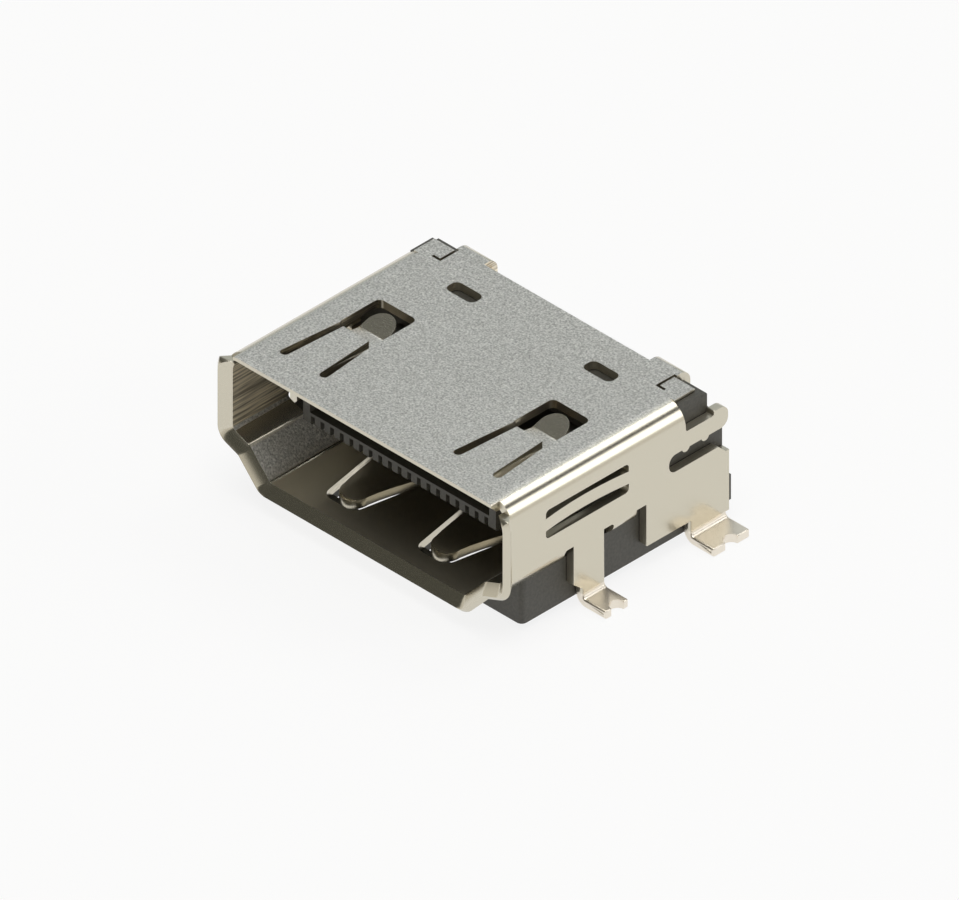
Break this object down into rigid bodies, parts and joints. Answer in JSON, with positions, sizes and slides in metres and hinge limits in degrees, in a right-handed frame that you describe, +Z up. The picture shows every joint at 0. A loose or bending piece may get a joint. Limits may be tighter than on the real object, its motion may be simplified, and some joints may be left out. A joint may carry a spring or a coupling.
{
  "type": "audio video receptacle",
  "caption": "Surface mount receptacle for a flat video plug: folded plated steel shell with flared mouth, spring fingers and flat feet round a black moulded tongue.",
  "frame": {"origin": "middle of the footprint on the board's face, under the part", "axes": "+Z up from the board, -Y out of the mouth, +X along the mouth's width to the right seen from in front"},
  "size_m": [0.0172, 0.0128, 0.0063],
  "materials": {
    "plated_steel": "satin nickel plating on stamped steel sheet",
    "black_moulding": "matt black glass filled moulding",
    "contact_plating": "gold flash over nickel on copper alloy"
  },
  "bodies": {
    "root": {"shell": "plated_steel", "housing": "black_moulding", "contact_01": "contact_plating", "contact_02": "contact_plating", "contact_03": "contact_plating", "contact_04": "contact_plating", "contact_05": "contact_plating", "contact_06": "contact_plating", "contact_07": "contact_plating", "contact_08": "contact_plating", "contact_09": "contact_plating", "contact_10": "contact_plating", "contact_11": "contact_plating", "contact_12": "contact_plating", "contact_13": "contact_plating", "contact_14": "contact_plating", "contact_15": "contact_plating", "contact_16": "contact_plating", "contact_17": "contact_plating", "contact_18": "contact_plating", "contact_19": "contact_plating"}
  },
  "joints": []
}
